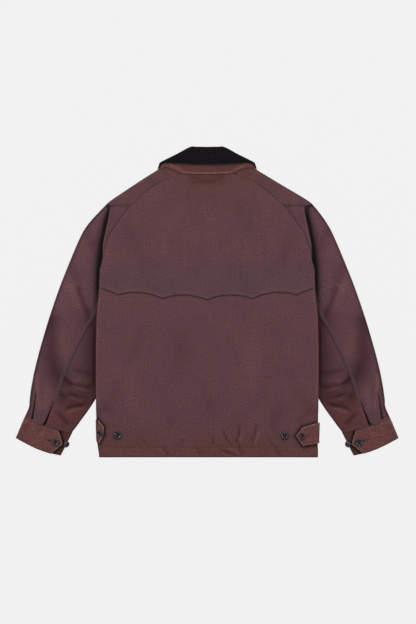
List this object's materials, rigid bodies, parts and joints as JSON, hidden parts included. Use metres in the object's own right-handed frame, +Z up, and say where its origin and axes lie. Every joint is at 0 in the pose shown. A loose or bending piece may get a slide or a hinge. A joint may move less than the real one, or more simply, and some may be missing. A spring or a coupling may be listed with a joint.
{
  "type": "waxed cotton jacket",
  "caption": "Waxed cotton jacket laid flat on its front: scalloped back cape, raglan sleeves, buttoned cuffs, hem tabs and a corduroy collar.",
  "frame": {"origin": "middle of the jacket's outline on the surface it lies on", "axes": "+Z up out of the back, +Y from the hem to the collar, +X to the sleeve on the right as the back is seen"},
  "size_m": [0.9564, 0.775, 0.011],
  "materials": {
    "waxed_cotton": "dry waxed cotton, plum brown",
    "waxed_cotton_worn": "waxed cotton worn to rust brown",
    "corduroy": "black fine corduroy",
    "button": "polished, blue black"
  },
  "bodies": {
    "root": {"back": "waxed_cotton", "cape": "waxed_cotton", "front_left": "waxed_cotton", "front_right": "waxed_cotton", "shoulder_left": "waxed_cotton", "shoulder_right": "waxed_cotton", "sleeve_upper_left": "waxed_cotton", "sleeve_upper_right": "waxed_cotton", "sleeve_under_left": "waxed_cotton", "sleeve_under_right": "waxed_cotton", "cuff_left": "waxed_cotton_worn", "cuff_right": "waxed_cotton_worn", "hem_tab_left": "waxed_cotton_worn", "hem_tab_right": "waxed_cotton_worn", "collar_stand": "waxed_cotton_worn", "collar": "corduroy", "collar_leaf_left": "corduroy", "collar_leaf_right": "corduroy", "button_hem_left_outer": "button", "button_hem_left_inner": "button", "button_hem_right_outer": "button", "button_hem_right_inner": "button", "button_cuff_left_outer": "button", "button_cuff_left_inner": "button", "button_cuff_right_outer": "button", "button_cuff_right_inner": "button"}
  },
  "joints": []
}
